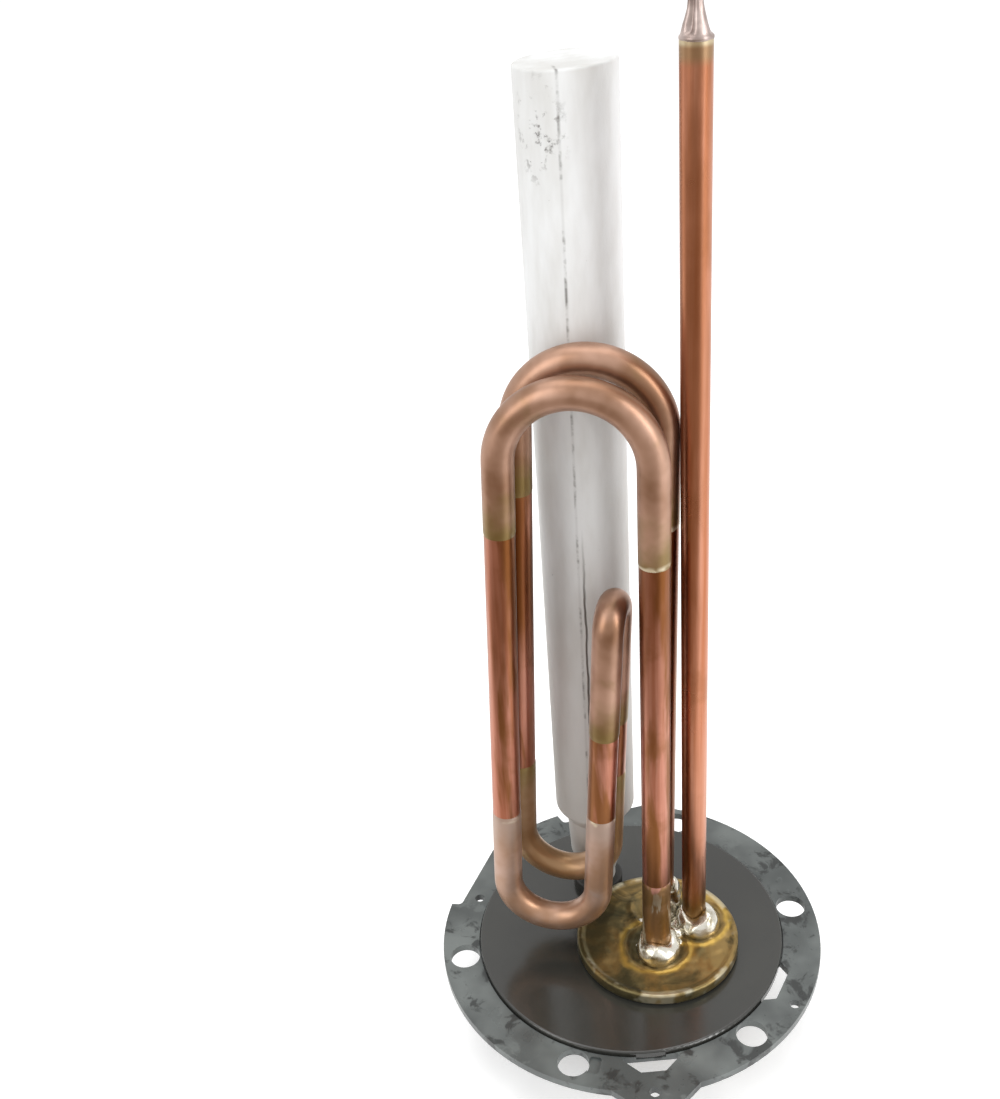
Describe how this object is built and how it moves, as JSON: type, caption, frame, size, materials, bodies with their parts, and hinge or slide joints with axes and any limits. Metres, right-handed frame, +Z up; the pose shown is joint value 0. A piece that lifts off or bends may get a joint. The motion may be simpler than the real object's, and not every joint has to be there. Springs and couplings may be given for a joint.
{
  "type": "immersion heating element assembly",
  "caption": "Storage water heater element: bolted ring and enamelled disc carrying a brass head with a double hairpin copper tube, thermostat pocket and magnesium anode.",
  "frame": {"origin": "centre of the six flange bolt holes, level with the top of the rim ring", "axes": "+Z up along the flange axis into the tank, +X through one bolt hole"},
  "size_m": [0.1228, 0.1272, 0.3077],
  "materials": {
    "rim_steel": "satin grey coating",
    "enamel": "semi-gloss grey enamel",
    "brass": "stained",
    "copper": "drawn copper, dulled at the bends",
    "braze": "bright silver braze",
    "magnesium": "matt cast",
    "steel": "zinc plated",
    "black_rubber": "matt",
    "red_rubber": "silicone bead",
    "white_plastic": "matt",
    "powder": "pressed powder",
    "resistance_wire": "annealed"
  },
  "bodies": {
    "root": {"rim_ring": "rim_steel", "centre_disc": "enamel", "heater_gasket": "black_rubber", "heater_head": "brass", "head_washer": "steel", "head_nut": "brass", "heating_sheath": "copper", "magnesia_fill": "powder", "heating_coil": "resistance_wire", "pin_front": "steel", "pin_rear": "steel", "end_seal_front": "red_rubber", "end_seal_rear": "red_rubber", "tab_front": "steel", "tab_rear": "steel", "braze_front": "braze", "braze_rear": "braze", "braze_pocket": "braze", "pocket_tube": "copper", "pocket_tip": "braze", "anode_body": "magnesium", "anode_core": "steel", "anode_seal": "black_rubber", "anode_insulator": "white_plastic", "anode_washer": "steel", "anode_nut": "steel", "earth_stud": "steel", "earth_washer": "steel", "earth_nut": "steel"}
  },
  "joints": []
}
